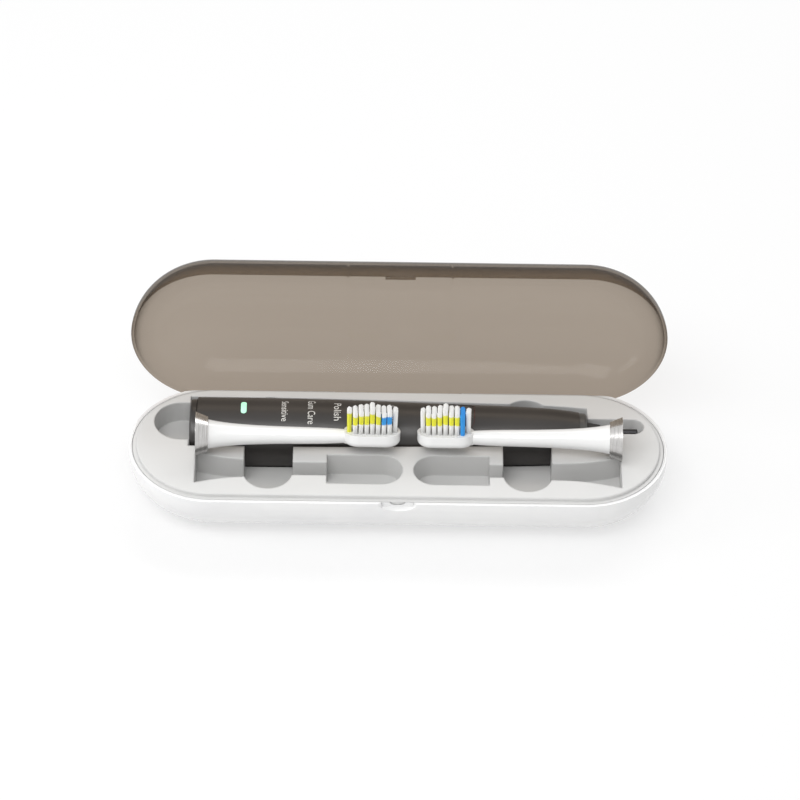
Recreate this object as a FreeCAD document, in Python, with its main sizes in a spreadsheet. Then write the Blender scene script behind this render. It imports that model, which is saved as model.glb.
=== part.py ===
import FreeCAD, Part
import math
import os
import re
import Sketcher

# Travel case with a sonic toothbrush handle and two spare heads.
# Frame: X to the right, Y to the back, Z up, origin at the centre of the base's bottom face.

SIZES = [
    # case
    ("case_length", 228.0, "outer length of the case"),
    ("case_width", 71.4, "outer width; the ends are half circles"),
    ("base_height", 24.8, "bottom to the ledge that the lid closes on"),
    ("base_corner", 22.6, "outer radius along the bottom edge"),
    ("base_wall", 2.0, "wall and floor of the base"),
    ("rim_wall", 1.4, "side wall beside the tray's flange"),
    ("recess_width", 16.0, "thumb recess across"),
    ("recess_height", 4.0, "thumb recess below the ledge"),
    ("recess_depth", 1.5, "thumb recess into the wall"),
    # tray
    ("tray_gap", 0.2, "tray to base all round"),
    ("tray_flange", 1.6, "thickness of the tray's flange"),
    ("tray_rise", 1.6, "land above the ledge"),
    ("tray_wall", 1.1, "walls of the tray's pockets"),
    ("ledge_width", 3.3, "ledge in from the outer edge"),
    ("pocket_depth", 11.2, "head pocket below the land"),
    ("pocket_y", -16.2, "centre line of the head pockets"),
    ("pocket_gap", 0.55, "head to pocket end"),
    ("flare_half", 9.35, "head pocket half width at the mouth end"),
    ("flare_length", 26.0, "length of the flare"),
    ("neck_half", 5.15, "head pocket half width at the neck"),
    ("throat_half", 3.9, "head pocket half width beside the bristle bay"),
    ("bay_half", 8.8, "bristle bay half width"),
    ("bay_length", 31.9, "bristle bay length"),
    ("pocket_left_x", -85.3, "mouth wall of the left pocket"),
    ("pocket_right_x", 93.9, "mouth wall of the right pocket"),
    ("slot_x", 54.6, "finger slots left and right of the middle"),
    ("slot_reach", 18.2, "finger slot centre to its end circle"),
    ("slot_radius", 10.3, "finger slot end radius"),
    ("slot_depth", 13.1, "finger slot below the land"),
    ("scoop_end_x", -103.7, "left end of the end scoop"),
    ("scoop_radius", 11.5, "end scoop half width"),
    ("scoop_depth", 10.5, "end scoop below the land"),
    ("handle_gap", 0.3, "handle to trough"),
    ("channel_end_x", 104.5, "right end of the shaft channel"),
    ("channel_half", 4.6, "shaft channel half width"),
    # hinge
    ("hinge_inset", 3.3, "hinge axis inside the back face"),
    ("hinge_drop", 3.5, "hinge axis below the ledge"),
    ("pin_radius", 1.25, "hinge pin"),
    ("pin_gap", 0.05, "barrel bore over the pin"),
    ("pin_seat", 0.02, "pin in the ears"),
    ("barrel_radius", 2.8, "hinge barrel"),
    ("barrel_half", 22.0, "half length of the barrel"),
    ("barrel_gap", 0.35, "barrel to the ears, each end"),
    ("ear_width", 4.6, "hinge ears along the pin"),
    ("ear_front", 2.2, "hinge ears in front of the pin's axis"),
    ("hinge_clear", 0.45, "room round the turning barrel and web"),
    ("relief_inset", 18.0, "relief behind the ledge stops this far from each end"),
    # lid
    ("lid_gap", 0.2, "lid rim above the ledge"),
    ("lid_height", 26.4, "rim to the top of the dome"),
    ("dome_inset", 32.0, "the dome leans in by this much up to its top"),
    ("lid_wall", 1.3, "wall of the lid"),
    ("lid_open", 90.0, "angle that the lid stands open, degrees"),
    ("rib_width", 0.8, "ribs across the lid"),
    ("rib_height", 0.6, "ribs in from the dome"),
    ("catch_half", 6.35, "catch tab half width"),
    ("catch_drop", 2.2, "catch tab below the rim"),
    ("catch_wall", 1.0, "catch tab thickness"),
    ("catch_gap", 0.35, "catch tab to its slot"),
    ("relief_gap", 0.12, "lid rim to the base as it turns"),
    # handle, along its own axis
    ("handle_y", 12.6, "handle axis behind the middle"),
    ("handle_drop", 5.2, "handle axis below the ledge"),
    ("handle_wall", 1.6, "housing wall"),
    ("cap_start_x", -88.5, "outer face of the end cap"),
    ("shell_start_x", -85.3, "rear end of the housing"),
    ("nose_x", 77.0, "front end of the housing"),
    ("nose_wall", 7.0, "solid nose around the bearing"),
    ("collar_length", 3.3, "neck collar"),
    ("rear_radius", 15.2, "handle radius at the rear"),
    ("body_radius", 14.8, "handle radius behind the middle"),
    ("button_radius", 13.6, "handle radius at the button"),
    ("waist_radius", 12.5, "handle radius near the front"),
    ("nose_radius", 10.8, "handle radius at the nose"),
    ("cap_radius", 14.3, "end cap radius"),
    ("cap_groove", 0.3, "groove between cap and housing"),
    ("spigot_length", 5.0, "end cap spigot in the housing"),
    ("fit_gap", 0.15, "glued and slipped-in pieces"),
    ("seal_section", 0.5, "O-ring section radius"),
    ("seal_squeeze", 0.02, "O-ring to the housing"),
    ("button_x", 24.8, "button centre"),
    ("button_size", 14.8, "button side"),
    ("button_corner", 3.6, "button corner radius"),
    ("button_gap", 0.25, "button to housing"),
    ("button_sink", 0.25, "button below the surface"),
    ("button_under", 9.8, "underside of the button above the axis"),
    ("button_room", 0.75, "button to switch at rest"),
    ("light_x", -65.6, "status light centre"),
    ("light_width", 2.4, "status light along the handle"),
    ("light_length", 7.0, "status light across the handle"),
    # inside the handle
    ("frame_wall", 1.4, "inner frame wall"),
    ("frame_start_x", -79.0, "rear end of the inner frame"),
    ("frame_end_x", 61.5, "front end of the inner frame"),
    ("board_z", 6.0, "underside of the board above the axis"),
    ("board_thickness", 1.0, "circuit board"),
    ("board_half", 9.0, "circuit board half width"),
    ("board_start_x", -69.0, "rear end of the board"),
    ("board_end_x", 34.0, "front end of the board"),
    ("cell_radius", 7.0, "battery cell"),
    ("cell_length", 50.0, "battery cell"),
    ("cell_x", -62.0, "rear end of the cell"),
    ("cell_gap", 0.9, "cell to the inner frame"),
    ("coil_outer", 9.5, "charging coil outer radius"),
    ("coil_inner", 6.0, "charging coil inner radius"),
    ("coil_length", 6.0, "charging coil"),
    ("core_flange", 1.2, "ferrite flange behind the coil"),
    ("stator_radius", 8.6, "motor stator"),
    ("stator_x", 38.0, "rear face of the stator"),
    ("stator_length", 22.0, "stator"),
    ("winding_wall", 1.2, "drive coil wall"),
    ("magnet_radius", 3.0, "rotor magnet"),
    ("rotor_gap", 0.35, "rotor to drive coil"),
    ("magnet_length", 13.0, "rotor magnet"),
    # drive shaft, parallel to the handle axis
    ("shaft_rise", 3.4, "shaft axis above the handle axis"),
    ("shaft_radius", 1.8, "shaft in the handle"),
    ("tip_radius", 1.4, "shaft in the brush head"),
    ("tip_start_x", 86.6, "start of the thinner tip"),
    ("tip_end_x", 102.0, "end of the shaft"),
    ("shaft_gap", 0.05, "shaft to bearing and seal"),
    ("bearing_radius", 3.8, "bearing outer radius"),
    ("bearing_length", 7.5, "bearing"),
    ("seal_root", 4.1, "seal radius at the collar"),
    ("seal_tip", 3.1, "seal radius at its end"),
    ("seal_end_x", 86.0, "end of the seal"),
    # brush heads
    ("head_length", 86.2, "mouth to tip"),
    ("ring_radius", 9.45, "metal ring at the mouth"),
    ("ring_front", 7.4, "metal ring at its small end"),
    ("ring_length", 5.3, "metal ring"),
    ("ring_wall", 0.9, "metal ring wall"),
    ("mouth_inset", 0.8, "white hub behind the ring's mouth"),
    ("neck_root", 6.3, "neck radius beside the ring"),
    ("neck_mid", 3.95, "neck radius a third of the way"),
    ("neck_slim", 3.15, "neck radius at the plate"),
    ("plate_length", 24.0, "bristle plate"),
    ("plate_half", 6.5, "bristle plate half width"),
    ("plate_top", 2.6, "plate above the head axis"),
    ("plate_under", 3.0, "plate below the head axis"),
    ("insert_radius", 3.3, "socket insert"),
    ("insert_length", 15.8, "socket insert"),
    ("tuft_pitch", 2.4, "tufts along the head"),
    ("tuft_radius", 0.85, "one tuft"),
    ("tuft_step", 2.3, "tufts across the head"),
    ("tuft_columns", 9, "tuft columns"),
    ("tuft_length", 10.2, "shortest tufts"),
    ("tuft_crown", 1.3, "extra length in the middle"),
    ("strip_depth", 0.8, "tuft strip in the plate"),
    ("strip_margin", 1.2, "plate edge round the tuft strip"),
    ("head_seat", 0.05, "ring above the land and beside the handle"),
    ("head_drop", 2.0, "tip lower than the mouth"),
    ("lean_gap", 0.5, "plate edge to the handle"),
    ("head_right_x", 94.1, "mouth of the right head"),
    ("head_tilt", 19.0, "bristles lean back, degrees"),
]

doc = FreeCAD.newDocument("ToothbrushCase")
sheet = doc.addObject("Spreadsheet::Sheet", "dims")
for row, (alias, number, note) in enumerate(SIZES, start=1):
    sheet.set(f"A{row}", alias)
    sheet.set(f"B{row}", str(number))
    sheet.setAlias(f"B{row}", alias)
    sheet.set(f"C{row}", note)
doc.recompute()
ALIASES = {alias for alias, number, note in SIZES}

# lines that several pieces share, as formulas of the sheet's cells
LAND_Z = "(base_height + tray_rise)"
AXIS_Z = "(base_height - handle_drop)"
LAND_RISE = "(tray_rise + handle_drop)"
HINGE_Y = "(case_width / 2 - hinge_inset)"
HINGE_Z = "(base_height - hinge_drop)"
RIM_Z = "(base_height + lid_gap)"
COLLAR_END = "(nose_x + collar_length)"

# stations of the handle: place along the axis, outer radius
HANDLE = [
    ("shell_start_x", "rear_radius"),
    ("shell_start_x + 4", "rear_radius"),
    ("-60", "rear_radius"),
    ("-22", "body_radius"),
    ("button_x", "button_radius"),
    ("55", "waist_radius + 0.3"),
    ("66", "waist_radius - 0.3"),
    ("nose_x", "nose_radius"),
]


def bound(formula):
    """The formula with each cell's alias written as an expression of the sheet."""
    return re.sub(
        r"[a-z_]+",
        lambda word: "dims." + word.group() if word.group() in ALIASES else word.group(),
        formula,
    )


def value(formula):
    return float(sheet.evalExpression(bound(formula)))


def bind(feature, name, formula):
    feature.setExpression(name, bound(formula))


def new_body(label):
    body = doc.addObject("PartDesign::Body", label)
    body.Label = label
    return body


def new_sketch(body, name, role, offset="0"):
    """A sketch on one of the body's own origin planes, moved along the plane's normal."""
    sketch = body.newObject("Sketcher::SketchObject", name)
    plane = [f for f in body.Origin.OriginFeatures if f.Role == role][0]
    sketch.AttachmentSupport = [(plane, "")]
    sketch.MapMode = "FlatFace"
    bind(sketch, "AttachmentOffset.Base.z", offset)
    return sketch


def fix_point(sketch, geometry, vertex, across, up):
    """Two dimensions from the origin, each driven by a formula."""
    for kind, formula in (("DistanceX", across), ("DistanceY", up)):
        number = sketch.addConstraint(
            Sketcher.Constraint(kind, -1, 1, geometry, vertex, value(formula))
        )
        sketch.setExpression(f"Constraints[{number}]", bound(formula))


def fix_radius(sketch, geometry, formula):
    number = sketch.addConstraint(
        Sketcher.Constraint("Radius", geometry, value(formula))
    )
    sketch.setExpression(f"Constraints[{number}]", bound(formula))


def arc_through(start, end, radius, left):
    """The short arc from start to end with its centre on the left or right of the chord."""
    a = FreeCAD.Vector(*start, 0)
    b = FreeCAD.Vector(*end, 0)
    chord = b - a
    rise = math.sqrt(max(radius**2 - chord.Length**2 / 4, 0))
    normal = FreeCAD.Vector(-chord.y, chord.x, 0).normalize()
    centre = (a + b) / 2 + normal * (rise if left else -rise)
    first, last = (a, b) if left else (b, a)
    angles = [math.atan2(p.y - centre.y, p.x - centre.x) for p in (first, last)]
    if angles[1] < angles[0]:
        angles[1] += 2 * math.pi
    circle = Part.Circle(centre, FreeCAD.Vector(0, 0, 1), radius)
    return Part.ArcOfCircle(circle, *angles)


def outline(sketch, corners, arcs=None):
    """A closed outline through corners; arcs gives a side its radius, and True for a centre on the left."""
    arcs = arcs or {}
    points = [(value(x), value(y)) for x, y in corners]
    ends = []
    for i, start in enumerate(points):
        end = points[(i + 1) % len(points)]
        if i in arcs:
            radius, left = arcs[i]
            side = sketch.addGeometry(arc_through(start, end, value(radius), left))
            ends.append((side, 1, 2) if left else (side, 2, 1))
        else:
            side = sketch.addGeometry(
                Part.LineSegment(
                    FreeCAD.Vector(*start, 0), FreeCAD.Vector(*end, 0)
                )
            )
            ends.append((side, 1, 2))
    for i, (side, start, end) in enumerate(ends):
        after, after_start, _ = ends[(i + 1) % len(ends)]
        sketch.addConstraint(
            Sketcher.Constraint("Coincident", side, end, after, after_start)
        )
        fix_point(sketch, side, start, *corners[i])
        if i in arcs:
            fix_radius(sketch, side, arcs[i][0])


def circle(sketch, across, up, radius):
    round_edge = sketch.addGeometry(
        Part.Circle(
            FreeCAD.Vector(value(across), value(up), 0),
            FreeCAD.Vector(0, 0, 1),
            value(radius),
        )
    )
    fix_point(sketch, round_edge, 3, across, up)
    fix_radius(sketch, round_edge, radius)


def rectangle(sketch, left, right, low, high):
    outline(sketch, [(left, low), (right, low), (right, high), (left, high)])


def stadium(sketch, low, high, middle, radius, upright=False):
    """A slot outline with round ends, along X, or along Y if upright; low and high are its end points."""
    radius = f"({radius})"
    corners = [
        (f"{low} + {radius}", f"{middle} - {radius}"),
        (f"{high} - {radius}", f"{middle} - {radius}"),
        (high, middle),
        (f"{high} - {radius}", f"{middle} + {radius}"),
        (f"{low} + {radius}", f"{middle} + {radius}"),
        (low, middle),
    ]
    if upright:
        corners = [(y, x) for x, y in corners]
    outline(sketch, corners, {i: (radius, not upright) for i in (1, 2, 4, 5)})


def rounded_rectangle(sketch, middle, half_x, half_y, corner):
    """A rounded rectangle about a point on the X axis."""
    half_x, half_y, corner = f"({half_x})", f"({half_y})", f"({corner})"
    left, right = f"{middle} - {half_x}", f"{middle} + {half_x}"
    outline(
        sketch,
        [
            (f"{left} + {corner}", f"-{half_y}"),
            (f"{right} - {corner}", f"-{half_y}"),
            (right, f"-{half_y} + {corner}"),
            (right, f"{half_y} - {corner}"),
            (f"{right} - {corner}", half_y),
            (f"{left} + {corner}", half_y),
            (left, f"{half_y} - {corner}"),
            (left, f"-{half_y} + {corner}"),
        ],
        {side: (corner, True) for side in (1, 3, 5, 7)},
    )


def feature(body, kind, name, sketch, length=None, reverse=False, both=False):
    made = body.newObject("PartDesign::" + kind, name)
    made.Profile = sketch
    if length is not None:
        bind(made, "Length", length)
    made.Reversed = reverse
    if both:
        made.SideType = "Symmetric"
    return made


def pad(body, name, sketch, length, reverse=False, both=False):
    return feature(body, "Pad", name, sketch, length, reverse, both)


def pocket(body, name, sketch, length, reverse=False, both=False):
    return feature(body, "Pocket", name, sketch, length, reverse, both)


def turned(body, name, corners, arcs=None, rise="0"):
    """A full turn of an outline, given as X and radius, about a line along X at the given rise."""
    sketch = new_sketch(body, name + "_outline", "XZ_Plane")
    outline(sketch, [(x, f"{rise} + {r}") for x, r in corners], arcs)
    return turn(body, name, sketch, rise)


def turn(body, name, sketch, rise="0"):
    line = sketch.addGeometry(
        Part.LineSegment(
            FreeCAD.Vector(0, value(rise), 0), FreeCAD.Vector(10, value(rise), 0)
        ),
        True,
    )
    fix_point(sketch, line, 1, "0", rise)
    fix_point(sketch, line, 2, "10", rise)
    made = body.newObject("PartDesign::Revolution", name)
    made.Profile = sketch
    made.ReferenceAxis = (sketch, ["Axis0"])
    made.Angle = 360
    return made


def loft(body, name, sections, kind="AdditiveLoft"):
    made = body.newObject("PartDesign::" + kind, name)
    made.Profile = sections[0]
    made.Sections = sections[1:]
    return made


def round_loft(body, name, stations, kind="AdditiveLoft", grow="0"):
    """A loft through circles about X, each a place along X and a radius."""
    sections = []
    for i, (x, radius) in enumerate(stations):
        section = new_sketch(body, f"{name}_{i}", "YZ_Plane", x)
        circle(section, "0", "0", f"{radius} + {grow}")
        sections.append(section)
    return loft(body, name, sections, kind)


def trough_loft(body, name, stations, grow, top, kind):
    """A loft through U outlines about the handle's axis, open upward as far as top."""
    sections = []
    for i, (x, radius) in enumerate(stations):
        section = new_sketch(body, f"{name}_{i}", "YZ_Plane", x)
        full = f"({radius} + {grow})"
        outline(
            section,
            [
                (f"handle_y - {full}", AXIS_Z),
                ("handle_y", f"{AXIS_Z} - {full}"),
                (f"handle_y + {full}", AXIS_Z),
                (f"handle_y + {full}", top),
                (f"handle_y - {full}", top),
            ],
            {0: (full, True), 1: (full, True)},
        )
        sections.append(section)
    return loft(body, name, sections, kind)


def fillet(body, name, base, test, radius):
    """A fillet on the edges of base whose bounding box passes test."""
    doc.recompute()
    edges = [
        f"Edge{i}"
        for i, edge in enumerate(base.Shape.Edges, start=1)
        if test(edge.BoundBox)
    ]
    made = body.newObject("PartDesign::Fillet", name)
    made.Base = (base, edges)
    bind(made, "Radius", radius)
    return made


def hollowed(body, name, base, test, wall):
    """An even wall left inside base, open at the faces whose bounding box passes test."""
    doc.recompute()
    faces = [
        f"Face{i}"
        for i, face in enumerate(base.Shape.Faces, start=1)
        if test(face.BoundBox)
    ]
    made = body.newObject("PartDesign::Thickness", name)
    made.Base = (base, faces)
    bind(made, "Value", wall)
    made.Reversed = True
    return made


def level(height):
    """A test for edges or faces that lie flat at a height."""
    at = value(height)
    return lambda box: abs(box.ZMin - at) < 0.01 and abs(box.ZMax - at) < 0.01


def boxed(body, name, left, right, low, high, start, length, cut=False, reverse=False):
    """A block over a rectangle on a level plane: added upward, or cut downward, unless reversed."""
    sketch = new_sketch(body, name + "_outline", "XY_Plane", start)
    rectangle(sketch, left, right, low, high)
    make = pocket if cut else pad
    return make(body, name, sketch, length, reverse)


def disc(body, name, x, radius, length, rise="0", cut=False):
    """A round length along X from x, added, or cut."""
    sketch = new_sketch(body, name + "_outline", "YZ_Plane", x)
    circle(sketch, "0", rise, radius)
    return pocket(body, name, sketch, length, True) if cut else pad(body, name, sketch, length)


# ---------------------------------------------------------------- base

base = new_body("case_base")
plan = new_sketch(base, "base_plan", "XY_Plane")
stadium(plan, "-case_length / 2", "case_length / 2", "0", "case_width / 2")
tub = pad(base, "tub", plan, "base_height")
rounded = fillet(base, "bottom_round", tub, level("0"), "base_corner")

hollowed(base, "cavity", rounded, level("base_height"), "base_wall")

plan = new_sketch(base, "seat_plan", "XY_Plane", "base_height")
stadium(
    plan,
    "-case_length / 2 + rim_wall",
    "case_length / 2 - rim_wall",
    "0",
    "case_width / 2 - rim_wall",
)
pocket(base, "tray_seat", plan, "tray_flange")

EAR_END = "(barrel_half + barrel_gap + ear_width)"
ROOM = "(barrel_radius + hinge_clear)"
WEB_LOW = "(hinge_inset + hinge_clear)"
boxed(
    base,
    "hinge_block",
    f"-{EAR_END}",
    EAR_END,
    f"{HINGE_Y} - ear_front",
    "case_width / 2 - base_wall / 2",
    f"{HINGE_Z} - {ROOM} - rim_wall",
    f"hinge_drop + {ROOM} + rim_wall",
)
side = new_sketch(base, "barrel_room_side", "YZ_Plane")
outline(
    side,
    [
        (f"{HINGE_Y} - {ROOM}", "base_height + 2"),
        (f"{HINGE_Y} - {ROOM}", HINGE_Z),
        (HINGE_Y, f"{HINGE_Z} - {ROOM}"),
        (HINGE_Y, f"{HINGE_Z} - {WEB_LOW}"),
        ("case_width / 2 + 1", f"{HINGE_Z} - {WEB_LOW}"),
        ("case_width / 2 + 1", "base_height + 2"),
    ],
    {1: (ROOM, True)},
)
pocket(base, "barrel_room", side, "2 * (barrel_half + barrel_gap)", both=True)

side = new_sketch(base, "pin_hole_side", "YZ_Plane")
circle(side, HINGE_Y, HINGE_Z, "pin_radius + pin_seat")
pocket(base, "pin_hole", side, f"2 * {EAR_END}", both=True)

# the ledge's back edge is rounded off, so that the lid's rim can turn past it
RELIEF = "(hinge_drop + lid_gap - relief_gap)"
side = new_sketch(base, "relief_side", "YZ_Plane")
outline(
    side,
    [
        (f"{HINGE_Y} + sqrt({RELIEF} ^ 2 - hinge_drop ^ 2)", "base_height"),
        (f"{HINGE_Y} + sqrt({RELIEF} ^ 2 - hinge_drop ^ 2)", "base_height + 1"),
        ("case_width / 2 + 1", "base_height + 1"),
        ("case_width / 2 + 1", f"{HINGE_Z} + {RELIEF} * 0.28"),
        (f"{HINGE_Y} + {RELIEF} * 0.96", f"{HINGE_Z} + {RELIEF} * 0.28"),
    ],
    {4: (RELIEF, True)},
)
pocket(base, "back_relief", side, "case_length - 2 * relief_inset", both=True)

boxed(
    base,
    "catch_slot",
    "-catch_half - catch_gap",
    "catch_half + catch_gap",
    "-case_width / 2 - 1",
    "-case_width / 2 + catch_wall + catch_gap",
    "base_height",
    "catch_drop - lid_gap + catch_gap",
    cut=True,
)
recess = base.newObject("PartDesign::SubtractiveEllipsoid", "thumb_recess")
bind(recess, "Radius1", "recess_height")
bind(recess, "Radius2", "recess_width / 2")
bind(recess, "Radius3", "recess_depth")
recess.Angle1 = -90
recess.Angle2 = 90
bind(recess, "Placement.Base.y", "-case_width / 2")
bind(recess, "Placement.Base.z", "base_height")

# ---------------------------------------------------------------- tray

tray = new_body("tray_insert")


def tray_stadium(name, height, inset):
    plan = new_sketch(tray, name, "XY_Plane", height)
    stadium(
        plan,
        f"-case_length / 2 + {inset}",
        f"case_length / 2 - {inset}",
        "0",
        f"case_width / 2 - {inset}",
    )
    return plan


FLANGE_Z = "(base_height - tray_flange)"
plan = tray_stadium("flange_plan", FLANGE_Z, "(rim_wall + tray_gap)")
pad(tray, "flange", plan, "tray_flange")
plan = tray_stadium("land_plan", "base_height", "ledge_width")
land = pad(tray, "land", plan, "tray_rise")
fillet(tray, "land_edge", land, level(LAND_Z), "tray_rise / 3")
plan = tray_stadium("underside_plan", FLANGE_Z, "(ledge_width + tray_wall)")
pocket(tray, "underside", plan, "tray_flange", reverse=True)

HEAD_ROOM = "(head_length + 2 * pocket_gap)"


def pocket_outline(sketch, mouth, way, slot, grow):
    """Plan of a head pocket from its mouth wall: flare, neck, throat and bristle bay."""

    def at(along, across):
        return (f"{mouth} + {way} * ({along})", f"pocket_y + {way} * ({across})")

    flare, neck = f"(flare_half + {grow})", f"(neck_half + {grow})"
    throat, bay = f"(throat_half + {grow})", f"(bay_half + {grow})"
    bay_start = f"{HEAD_ROOM} - bay_length - {grow}"
    end = f"{HEAD_ROOM} + {grow}"
    run, fall = f"(flare_length + {grow})", "(flare_half - neck_half)"
    curve = f"(({run} ^ 2 + {fall} ^ 2) / (2 * {fall}))"
    outline(
        sketch,
        [
            at(f"-{grow}", f"-{flare}"),
            at("flare_length", f"-{neck}"),
            at(slot, f"-{neck}"),
            at(slot, f"-{throat}"),
            at(bay_start, f"-{throat}"),
            at(bay_start, f"-{bay}"),
            at(f"{end} - {bay}", f"-{bay}"),
            at(end, "0"),
            at(f"{end} - {bay}", bay),
            at(bay_start, bay),
            at(bay_start, throat),
            at(slot, throat),
            at(slot, neck),
            at("flare_length", neck),
            at(f"-{grow}", flare),
        ],
        {0: (curve, False), 6: (bay, True), 7: (bay, True), 13: (curve, False)},
    )


POCKETS = [
    ("left", "pocket_left_x", "1", "-slot_x - pocket_left_x"),
    ("right", "pocket_right_x", "-1", "pocket_right_x - slot_x"),
]
CHANNEL_DEPTH = f"({LAND_RISE} - shaft_rise + channel_half)"
TROUGH_START = "cap_start_x - handle_gap"
TROUGH_END = f"{COLLAR_END} + handle_gap"


def tray_hollows(stage, start, grow, make):
    """Every pocket of the tray: their outer walls when grown, or their insides."""
    extra = f"({LAND_Z} - {start})"
    outer = stage == "wall"
    floor = f" + {grow}" if outer else ""
    for name, mouth, way, slot in POCKETS:
        plan = new_sketch(tray, f"{stage}_{name}_plan", "XY_Plane", start)
        pocket_outline(plan, mouth, way, slot, grow)
        make(tray, f"{stage}_{name}", plan, f"pocket_depth - {extra}{floor}", outer)
    for name, middle in (("left", "-slot_x"), ("right", "slot_x")):
        plan = new_sketch(tray, f"{stage}_{name}_slot_plan", "XY_Plane", start)
        stadium(
            plan,
            f"-slot_reach - slot_radius - {grow}",
            f"slot_reach + slot_radius + {grow}",
            middle,
            f"slot_radius + {grow}",
            upright=True,
        )
        make(tray, f"{stage}_{name}_slot", plan, f"slot_depth - {extra}{floor}", outer)
    plan = new_sketch(tray, f"{stage}_scoop_plan", "XY_Plane", start)
    stadium(
        plan,
        f"scoop_end_x - {grow}",
        "cap_start_x + scoop_radius",
        "handle_y",
        f"scoop_radius + {grow}",
    )
    make(tray, f"{stage}_scoop", plan, f"scoop_depth - {extra}{floor}", outer)
    plan = new_sketch(tray, f"{stage}_channel_plan", "XY_Plane", start)
    stadium(
        plan,
        "nose_x - channel_half",
        f"channel_end_x + {grow}",
        "handle_y",
        f"channel_half + {grow}",
    )
    make(tray, f"{stage}_channel", plan, f"{CHANNEL_DEPTH} - {extra}{floor}", outer)


def trough_stations(grow):
    """The handle's stations, with the trough's own ends."""
    first = (f"{TROUGH_START} - {grow}", "rear_radius")
    last = (f"{TROUGH_END} + {grow}", "nose_radius")
    return [first] + HANDLE[2:-1] + [last]


tray_hollows("wall", "(base_height + tray_rise / 2)", "tray_wall", pad)
trough_loft(
    tray,
    "wall_trough",
    trough_stations("tray_wall"),
    "handle_gap + tray_wall",
    "(base_height + tray_rise / 2)",
    "AdditiveLoft",
)
tray_hollows("inside", f"({LAND_Z} + 1)", "0", pocket)
trough_loft(
    tray,
    "inside_trough",
    trough_stations("0"),
    "handle_gap",
    f"{LAND_Z} + 1",
    "SubtractiveLoft",
)
# room for the hinge block and the turning barrel, under the land
boxed(
    tray,
    "hinge_notch",
    f"-{EAR_END} - tray_gap",
    f"{EAR_END} + tray_gap",
    f"{HINGE_Y} - {ROOM}",
    "case_width / 2 + 1",
    "base_height",
    "tray_flange + 1",
    cut=True,
)

# ---------------------------------------------------------------- lid, drawn closed and then opened

lid = new_body("case_lid")
# the dome's quarter ellipse: share of its height, share of its inset
DOME = [
    (round(math.sin(math.radians(turn)), 4), round(1 - math.cos(math.radians(turn)), 4))
    for turn in range(0, 91, 15)
]


def dome(name, inset, kind):
    sections = []
    for i, (rise, lean) in enumerate(DOME):
        height = f"{RIM_Z} + (lid_height - {inset}) * {rise}"
        side = f"({inset} + dome_inset * {lean})"
        section = new_sketch(lid, f"{name}_{i}", "XY_Plane", height)
        stadium(
            section,
            f"-case_length / 2 + {side}",
            f"case_length / 2 - {side}",
            "0",
            f"case_width / 2 - {side}",
        )
        sections.append(section)
    loft(lid, name, sections, kind)


dome("lid_outside", "0", "AdditiveLoft")
dome("lid_inside", "lid_wall", "SubtractiveLoft")
boxed(
    lid,
    "hinge_web",
    "-barrel_half",
    "barrel_half",
    f"{HINGE_Y} + hinge_clear",
    "case_width / 2",
    HINGE_Z,
    "hinge_drop + lid_gap",
)
side = new_sketch(lid, "barrel_side", "YZ_Plane")
circle(side, HINGE_Y, HINGE_Z, "barrel_radius")
pad(lid, "barrel", side, "2 * barrel_half", both=True)
boxed(
    lid,
    "catch_tab",
    "-catch_half",
    "catch_half",
    "-case_width / 2",
    "-case_width / 2 + catch_wall",
    f"{RIM_Z} - catch_drop",
    "catch_drop + lid_wall",
)


def arch(inset):
    """The lid's cross-section inside an inset, from the front rim over the top to the back rim."""
    front = [
        (
            f"-case_width / 2 + {inset} + dome_inset * {lean}",
            f"{RIM_Z} + (lid_height - {inset}) * {rise}",
        )
        for rise, lean in DOME
    ]
    return front + [(f"-({across})", up) for across, up in reversed(front)]


for name, sign in (("left", "-"), ("right", "")):
    side = new_sketch(lid, f"rib_{name}_side", "YZ_Plane", f"{sign}barrel_half - rib_width / 2")
    outline(side, arch("lid_wall / 2") + arch("(lid_wall + rib_height)")[::-1])
    pad(lid, f"rib_{name}", side, "rib_width")
side = new_sketch(lid, "barrel_bore_side", "YZ_Plane")
circle(side, HINGE_Y, HINGE_Z, "pin_radius + pin_gap")
pocket(lid, "barrel_bore", side, "2 * barrel_half", both=True)
hinge = FreeCAD.Vector(0, value(HINGE_Y), value(HINGE_Z))
opened = FreeCAD.Rotation(FreeCAD.Vector(1, 0, 0), -value("lid_open"))
lid.Placement = FreeCAD.Placement(hinge - opened.multVec(hinge), opened)

pin = new_body("hinge_pin")
side = new_sketch(pin, "pin_side", "YZ_Plane")
circle(side, HINGE_Y, HINGE_Z, "pin_radius")
pad(pin, "pin", side, f"2 * {EAR_END}", both=True)

# ---------------------------------------------------------------- handle, drawn along X about the origin


def handle_body(label):
    body = new_body(label)
    bind(body, "Placement.Base.y", "handle_y")
    bind(body, "Placement.Base.z", AXIS_Z)
    return body


def keep_inside(body, name, draw):
    """Cuts away everything outside an outline on the level plane."""
    sketch = new_sketch(body, name + "_outline", "XY_Plane")
    rectangle(sketch, "-150", "150", "-40", "40")
    draw(sketch)
    return pocket(body, name, sketch, "80", both=True)


def draw_button(gap):
    def draw(sketch):
        rounded_rectangle(
            sketch,
            "button_x",
            f"button_size / 2 + {gap}",
            f"button_size / 2 + {gap}",
            f"button_corner + {gap}",
        )

    return draw


def draw_light(gap):
    def draw(sketch):
        stadium(
            sketch,
            f"-light_length / 2 - {gap}",
            f"light_length / 2 + {gap}",
            "light_x",
            f"light_width / 2 + {gap}",
            upright=True,
        )

    return draw


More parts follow.
